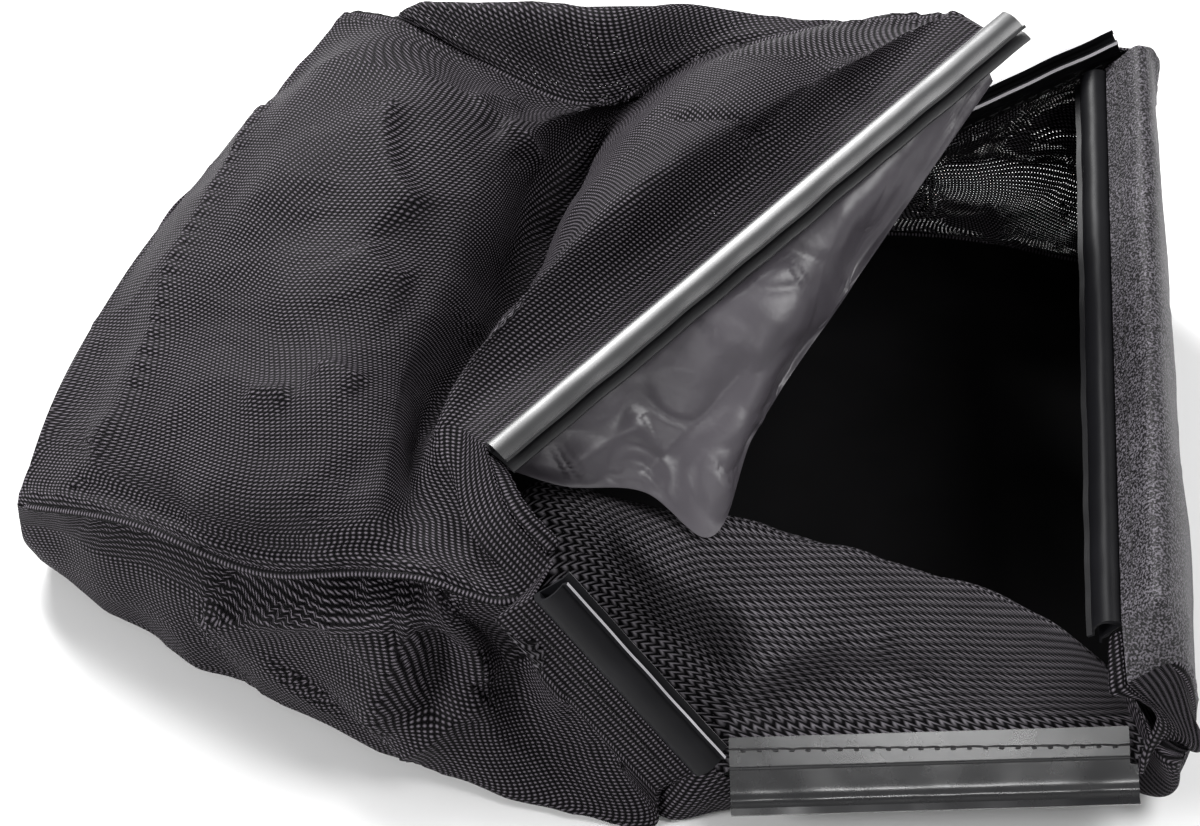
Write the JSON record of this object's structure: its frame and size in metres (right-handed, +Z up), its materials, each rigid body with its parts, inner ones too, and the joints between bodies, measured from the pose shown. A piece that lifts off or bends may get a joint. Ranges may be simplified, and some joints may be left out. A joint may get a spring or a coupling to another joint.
{
  "type": "mower grass collection bag",
  "caption": "Soft sewn mesh bag that collects cut grass behind a walk-behind mower, with plastic frame clips round its mouth, lying collapsed.",
  "frame": {"origin": "centre of the bag's footprint on the ground it lies on, at the underside of the bottom panel", "axes": "+X from the closed rear end towards the open mouth, +Y from the near side panel to the far side panel, +Z up from the ground"},
  "size_m": [0.6052, 0.4792, 0.2616],
  "materials": {
    "knit_mesh": "warp-knitted polyester mesh, charcoal black",
    "coated_cloth": "coated woven cloth, grained outside and smooth inside",
    "liner_vinyl": "calendered vinyl sheet, satin",
    "clip_plastic": "extruded PVC, glossy black"
  },
  "bodies": {
    "root": {"top_panel": "knit_mesh", "right_side_panel": "knit_mesh", "left_side_panel": "knit_mesh", "bottom_panel": "coated_cloth", "rear_panel": "knit_mesh", "dust_liner": "liner_vinyl", "top_clip": "clip_plastic", "right_upper_clip": "clip_plastic", "right_lower_clip": "clip_plastic", "bottom_clip": "clip_plastic", "left_lower_clip": "clip_plastic", "left_upper_clip": "clip_plastic", "top_right_hem": "knit_mesh", "top_left_hem": "knit_mesh", "bottom_right_hem": "knit_mesh", "bottom_left_hem": "knit_mesh"}
  },
  "joints": []
}
